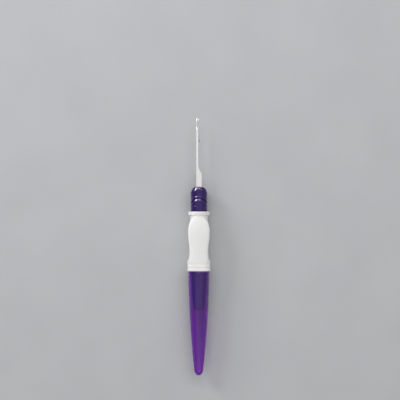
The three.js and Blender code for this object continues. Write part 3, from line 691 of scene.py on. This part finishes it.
def latch_rings():
    """Half sizes at a distance s from the pivot: the eye is a circle, the blade narrows smoothly,
    and the spoon swells as the square root of 1 − (distance from its middle / half its length)².
    Its cup deepens with the swell, from a fifth of it on."""
    eye_turn = np.linspace(-np.pi / 2 * EYE_CLOSE, np.pi / 2 * EYE_OPEN, 26)
    eye_s = LATCH_EYE * np.sin(eye_turn)
    blade_s = np.linspace(eye_s[-1], LATCH_LENGTH - SPOON_LENGTH, 60)[1:]
    tip_turn = np.linspace(-np.pi / 2, np.pi / 2 * SPOON_CLOSE, 60)[1:]
    spoon_middle = LATCH_LENGTH - SPOON_LENGTH / 2
    spoon_s = spoon_middle + SPOON_LENGTH / 2 * np.sin(tip_turn)
    s = np.concatenate([eye_s, blade_s, spoon_s])
    eye = np.sqrt(np.maximum(LATCH_EYE**2 - s**2, 0))
    places = [0, eye_s[-1], BLADE_START, LATCH_LENGTH]
    taper = smooth_through(places, [LATCH_EYE, LATCH_NECK, BLADE_HALF, BLADE_HALF], s)
    in_spoon = np.sqrt(np.maximum(1 - ((s - spoon_middle) / (SPOON_LENGTH / 2)) ** 2, 0))
    before = s < spoon_middle
    half_x = np.where(s < eye_s[-1], eye, np.where(before, taper, THIN_EDGE))
    half_x = np.maximum(half_x, SPOON_HALF_DEPTH * in_spoon)
    half_z = np.where(before, LATCH_HALF_THICK, THIN_EDGE)
    half_z = np.maximum(half_z, SPOON_HALF_WIDTH * in_spoon)
    corner = np.minimum(half_x, half_z) * ROUNDEST
    corner = np.minimum(corner, BLADE_CORNER + SPOON_CORNER * in_spoon)
    hollow = np.clip(in_spoon * (1 + CUP_DELAY) - CUP_DELAY, 0, 1)
    groove_half = np.maximum(half_z - SPOON_WALL, half_z * CUP_LEAST_SHARE)
    groove_depth = SPOON_CUP * hollow
    rings = grooved_rings(0 * s, -s, 0 * s, half_x, half_z, corner, groove_half, groove_depth)
    x, y = rings[..., 0].copy(), rings[..., 1].copy()
    rings[..., 0] = PIVOT_X + x * np.cos(LEAN) - y * np.sin(LEAN)
    rings[..., 1] = PIVOT_Y + x * np.sin(LEAN) + y * np.cos(LEAN)
    return rings


latch = piece_of_rings("latch_spooned", latch_rings(), sharp_degrees=50)
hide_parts("latch")
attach(latch, "latch")

# %% [markdown]
# ## The rivet
#
# The latch turns on a pin through both cheeks, whose ends are pressed into low round heads. It is
# one more stack of rings, this time round Z.

# %% Rivet surface
RIVET_RADIUS = (rivet_high[0] - rivet_low[0]) / 2
RIVET_PIN = 0.18
RIVET_TOP = (rivet_high[2] - rivet_low[2]) / 2
RIVET_CLEARANCE = 0.01
DOME_CLOSE = 0.9
RIVET_SEAT = STRIP_HALF + RIVET_CLEARANCE


def rivet_rings():
    """A pin along Z whose two heads are low domes: at a turn, the radius is head · cos turn and
    the height above the cheek is dome · sin turn."""
    turn = np.linspace(np.pi / 2 * DOME_CLOSE, 0, 10)
    dome_radius = RIVET_RADIUS * np.cos(turn)
    dome_z = RIVET_SEAT + (RIVET_TOP - RIVET_SEAT) * np.sin(turn)
    radius = np.concatenate([dome_radius, [RIVET_PIN, RIVET_PIN], dome_radius[::-1]])
    z = np.concatenate([dome_z, [RIVET_SEAT, -RIVET_SEAT], -dome_z[::-1]])
    around = np.linspace(0, 2 * np.pi, 40, endpoint=False)
    x = PIVOT_X + radius[:, None] * np.cos(around)
    y = PIVOT_Y + radius[:, None] * np.sin(around)
    return np.stack([x, y, AXIS_Z + z[:, None] + 0 * x], axis=-1)


rivet = piece_of_rings("latch_rivet_domed", rivet_rings())
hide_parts("latch_rivet")
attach(rivet, "handle")

# %% [markdown]
# ## Finishes
#
# Each finish is a Principled shader whose colour, roughness and relief come from noise in the
# object's own metres, so a grain keeps its real size. The helpers turn millimetres into the scale
# of a pattern.

# %% Finish helpers
NOISE_LOW, NOISE_HIGH = 0.35, 0.65


def new_finish(name, **sockets):
    """A material and its Principled shader, with constant values set on the shader's own
    sockets."""
    material = bpy.data.materials.new(name)
    material.use_nodes = True
    shader = material.node_tree.nodes["Principled BSDF"]
    for socket, value in sockets.items():
        shader.inputs[socket.replace("_", " ")].default_value = value
    return material, shader


def grain(material, size_mm, stretch=(1, 1, 1), detail=3):
    """Noise with features of about size_mm, longer along an axis by its stretch."""
    tree = material.node_tree
    place = tree.nodes.new("ShaderNodeTexCoord")
    scale = tree.nodes.new("ShaderNodeMapping")
    noise = tree.nodes.new("ShaderNodeTexNoise")
    scale.inputs["Scale"].default_value = [1 / (size_mm * MM * s) for s in stretch]
    noise.inputs["Scale"].default_value = 1
    noise.inputs["Detail"].default_value = detail
    tree.links.new(place.outputs["Object"], scale.inputs["Vector"])
    tree.links.new(scale.outputs["Vector"], noise.inputs["Vector"])
    return noise.outputs["Fac"]


def share_along_y(material, start_mm, end_mm):
    """0 up to start_mm on the object's Y, 1 past end_mm, and straight between them."""
    tree = material.node_tree
    place = tree.nodes.new("ShaderNodeTexCoord")
    split = tree.nodes.new("ShaderNodeSeparateXYZ")
    span = tree.nodes.new("ShaderNodeMapRange")
    span.inputs["From Min"].default_value = start_mm * MM
    span.inputs["From Max"].default_value = end_mm * MM
    tree.links.new(place.outputs["Object"], split.inputs["Vector"])
    tree.links.new(split.outputs["Y"], span.inputs["Value"])
    return span.outputs["Result"]


def between(material, source, low, high, socket):
    """Runs a socket from low to high as the noise goes from its usual low to its usual high."""
    tree = material.node_tree
    span = tree.nodes.new("ShaderNodeMapRange")
    ends = {"From Min": NOISE_LOW, "From Max": NOISE_HIGH, "To Min": low, "To Max": high}
    for end, value in ends.items():
        span.inputs[end].default_value = value
    tree.links.new(source, span.inputs["Value"])
    tree.links.new(span.outputs["Result"], socket)


def tinted(material, source, colour_a, colour_b, socket):
    """Blends two close colours by the noise."""
    tree = material.node_tree
    ramp = tree.nodes.new("ShaderNodeValToRGB")
    stops = ((NOISE_LOW, colour_a), (NOISE_HIGH, colour_b))
    for element, (place, colour) in zip(ramp.color_ramp.elements, stops):
        element.position, element.color = place, (*colour, 1)
    tree.links.new(source, ramp.inputs["Fac"])
    tree.links.new(ramp.outputs["Color"], socket)


def relief(material, source, height_mm, shader):
    """Raises the surface by the noise, up to height_mm."""
    tree = material.node_tree
    bump = tree.nodes.new("ShaderNodeBump")
    bump.inputs["Distance"].default_value = height_mm * MM
    tree.links.new(source, bump.inputs["Height"])
    tree.links.new(bump.outputs["Normal"], shader.inputs["Normal"])


def wear(piece, material):
    """Gives a piece its one material."""
    piece.data.materials.clear()
    piece.data.materials.append(material)
    print(f"{piece.name} wears {material.name}")


# %% Satin white plastic
white, shader = new_finish("satin_white", IOR=1.5)
tinted(white, grain(white, 6.0), (0.765, 0.765, 0.75), (0.79, 0.788, 0.775),
       shader.inputs["Base Color"])
between(white, grain(white, 0.5), 0.50, 0.60, shader.inputs["Roughness"])
relief(white, grain(white, 0.14, detail=2), 0.004, shader)
wear(grip, white)

# %% Violet plastics
collar_violet, shader = new_finish("collar_violet", IOR=1.58, Specular_Tint=(0.88, 0.72, 1.0, 1))
tinted(collar_violet, grain(collar_violet, 4.0), (0.012, 0.0012, 0.068), (0.016, 0.0018, 0.092),
       shader.inputs["Base Color"])
between(collar_violet, grain(collar_violet, 0.4), 0.09, 0.13, shader.inputs["Roughness"])
relief(collar_violet, grain(collar_violet, 0.3, detail=2), 0.0008, shader)
wear(collar, collar_violet)

core_violet, shader = new_finish("core_violet", IOR=1.5)
tinted(core_violet, grain(core_violet, 5.0, (1, 4, 1)),
       (0.049, 0.022, 0.175), (0.057, 0.027, 0.195), shader.inputs["Base Color"])
between(core_violet, grain(core_violet, 0.6), 0.27, 0.31, shader.inputs["Roughness"])
relief(core_violet, grain(core_violet, 0.5, (1, 6, 1)), 0.0012, shader)
wear(core, core_violet)

# %% [markdown]
# ### Clear purple
#
# A see-through plastic gets its colour from depth: light loses more green the further it goes. An
# absorbing volume inside a colourless clear shader does just that, so the rims and the thick end
# come out darker than the thin wall with no paint at all.

# %% Clear purple plastic
ABSORPTION_PER_METRE = 2700
clear_purple, shader = new_finish("clear_purple", IOR=1.49, Roughness=0.04, Transmission_Weight=1.0)
shader.inputs["Base Color"].default_value = (1, 1, 1, 1)
relief(clear_purple, grain(clear_purple, 2.5, (1, 5, 1), detail=1), 0.01, shader)
absorb = clear_purple.node_tree.nodes.new("ShaderNodeVolumeAbsorption")
absorb.inputs["Color"].default_value = (0.71, 0.02, 0.90, 1)
absorb.inputs["Density"].default_value = ABSORPTION_PER_METRE
output = clear_purple.node_tree.nodes["Material Output"]
clear_purple.node_tree.links.new(absorb.outputs["Volume"], output.inputs["Volume"])
wear(cap, clear_purple)

# %% [markdown]
# ### Steels
#
# The broad shank keeps the dull streaks of the strip it was stamped from. From the ramp on the
# needle's colour climbs to a brighter one: painted light, standing in for the light that the
# narrow stem catches. The latch is painted darker, for the dark surroundings its flanks mirror.

# %% Steels
# Painted light: from the ramp on, the needle's colour brightens, for the light the narrow stem
# catches.
PAINTED_LIGHT_TOP_Y = SHANK_TOP_Y + 1.5 * RAMP_LENGTH
steel, shader = new_finish("needle_steel", Metallic=1.0)
lines = grain(steel, 0.05, (1, 40, 1), detail=4)
stem_painted_light = steel.node_tree.nodes.new("ShaderNodeMixRGB")
stem_painted_light.inputs["Color2"].default_value = (0.925, 0.91, 0.915, 1)
tinted(steel, grain(steel, 1.5, (1, 3, 1)), (0.82, 0.78, 0.755), (0.87, 0.83, 0.805),
       stem_painted_light.inputs["Color1"])
painted_light_share = share_along_y(steel, SHANK_TOP_Y, PAINTED_LIGHT_TOP_Y)
steel.node_tree.links.new(painted_light_share, stem_painted_light.inputs["Fac"])
steel.node_tree.links.new(stem_painted_light.outputs["Color"], shader.inputs["Base Color"])
between(steel, lines, 0.2, 0.34, shader.inputs["Roughness"])
relief(steel, lines, 0.0006, shader)
wear(needle, steel)

# Painted shade: the latch's steel is made darker, for the dark surroundings its rounded flanks
# mirror.
latch_steel, shader = new_finish("latch_steel", Metallic=1.0)
tinted(latch_steel, grain(latch_steel, 0.6), (0.40, 0.395, 0.39), (0.46, 0.455, 0.45),
       shader.inputs["Base Color"])
between(latch_steel, grain(latch_steel, 0.08), 0.2, 0.32, shader.inputs["Roughness"])
wear(latch, latch_steel)

rivet_steel, shader = new_finish("rivet_steel", Metallic=1.0)
tinted(rivet_steel, grain(rivet_steel, 0.2), (0.60, 0.59, 0.58), (0.70, 0.69, 0.68),
       shader.inputs["Base Color"])
between(rivet_steel, grain(rivet_steel, 0.05), 0.28, 0.42, shader.inputs["Roughness"])
wear(rivet, rivet_steel)

# %% [markdown]
# ## Floor, light and camera
#
# The tool lies on a plain pale table. The key light comes low from the upper left. A broad softbox
# above gives the soft fill and is what the flat steel mirrors, a long thin one stands in front of
# the hook, and a faint one lifts the right side. A brighter and wider card in the key's place is
# seen in reflections only. The camera looks straight down, as the picture was taken.
#
# The world has two levels. Surfaces are lit by an even white, but the camera, mirror reflections
# and what is seen through the clear cap find a mid grey, so the plastics keep their depth.

# %% Floor and world
FLOOR_SIDE = 4
WORLD_LEVEL = 0.36
WORLD_SEEN = (0.42, 0.43, 0.45, 1)
bpy.ops.mesh.primitive_plane_add(size=FLOOR_SIDE)
floor = bpy.context.object
floor.name = "floor"
pale, shader = new_finish("pale_table", Roughness=0.9, Specular_IOR_Level=0.1)
tinted(pale, grain(pale, 30), (0.47, 0.475, 0.49), (0.49, 0.495, 0.51), shader.inputs["Base Color"])
wear(floor, pale)

world = bpy.data.worlds.new("studio")
bpy.context.scene.world = world
world.use_nodes = True
tree = world.node_tree
light = tree.nodes["Background"]
light.inputs["Color"].default_value = (1, 1, 1, 1)
light.inputs["Strength"].default_value = WORLD_LEVEL
seen = tree.nodes.new("ShaderNodeBackground")
seen.inputs["Color"].default_value = WORLD_SEEN
path = tree.nodes.new("ShaderNodeLightPath")
either = tree.nodes.new("ShaderNodeMath")
either.operation, either.use_clamp = "ADD", True
any_way = tree.nodes.new("ShaderNodeMath")
any_way.operation, any_way.use_clamp = "ADD", True
blend = tree.nodes.new("ShaderNodeMixShader")
tree.links.new(path.outputs["Is Camera Ray"], either.inputs[0])
tree.links.new(path.outputs["Is Glossy Ray"], either.inputs[1])
tree.links.new(either.outputs["Value"], any_way.inputs[0])
tree.links.new(path.outputs["Is Transmission Ray"], any_way.inputs[1])
tree.links.new(any_way.outputs["Value"], blend.inputs["Fac"])
tree.links.new(light.outputs["Background"], blend.inputs[1])
tree.links.new(seen.outputs["Background"], blend.inputs[2])
tree.links.new(blend.outputs["Shader"], tree.nodes["World Output"].inputs["Surface"])

# %% Softboxes
KEY_DIRECTION = (-0.70, 0.60, 0.39)


def softbox(name, direction, distance, width, height, level):
    """A flat lamp that faces the tool and adds level to the brightness of a white face turned to
    it. Its power in watts is π² · level · distance²."""
    lamp = bpy.data.lights.new(name, "AREA")
    lamp.shape = "RECTANGLE"
    lamp.size, lamp.size_y = width, height
    lamp.energy = np.pi**2 * level * distance**2
    holder = bpy.data.objects.new(name, lamp)
    holder.location = Vector(direction).normalized() * distance
    holder.rotation_euler = (-holder.location).to_track_quat("-Z", "Y").to_euler()
    bpy.context.scene.collection.objects.link(holder)
    print(f"{name}: {lamp.energy:.2f} W at {distance} m")
    return holder


# name, direction, distance, width, height, level
softbox("key_softbox", KEY_DIRECTION, 0.8, 0.24, 0.30, 0.48)
softbox("top_softbox", (0.0, 0.0, 1.0), 1.0, 1.72, 1.72, 0.39)
softbox("front_softbox", (0.12, 0.68, 0.70), 0.8, 1.10, 0.12, 0.36)
softbox("fill_softbox", (0.88, 0.20, 0.42), 0.8, 1.20, 0.80, 0.08)
glint = softbox("glint_card", KEY_DIRECTION, 0.79, 0.46, 0.28, 0.80)
glint.visible_diffuse = False

# %% Camera
PHOTO_SIDE = 400
PHOTO_MM_PER_PIXEL = 0.444
AXIS_PIXEL_X = 198.95
TOOL_MIDDLE_PIXEL_Y = 246.9
TOOL_TILT_DEGREES = 0.08
FOCAL_LENGTH = 135
lens = bpy.data.cameras.new("overhead")
lens.lens = FOCAL_LENGTH
camera = bpy.data.objects.new("overhead", lens)
half_side = PHOTO_SIDE / 2
centre_x = (half_side - AXIS_PIXEL_X) * PHOTO_MM_PER_PIXEL
centre_y = (TOOL_MIDDLE_PIXEL_Y - half_side) * PHOTO_MM_PER_PIXEL
distance = PHOTO_SIDE * PHOTO_MM_PER_PIXEL * lens.lens / lens.sensor_width
camera.location = (centre_x * MM, centre_y * MM, (AXIS_Z + distance) * MM)
camera.rotation_euler = (0, 0, np.radians(TOOL_TILT_DEGREES))
bpy.context.scene.collection.objects.link(camera)
bpy.context.scene.camera = camera
bpy.context.scene.view_settings.view_transform = "Standard"
print(f"camera {distance:.0f} mm above the tool's axis")
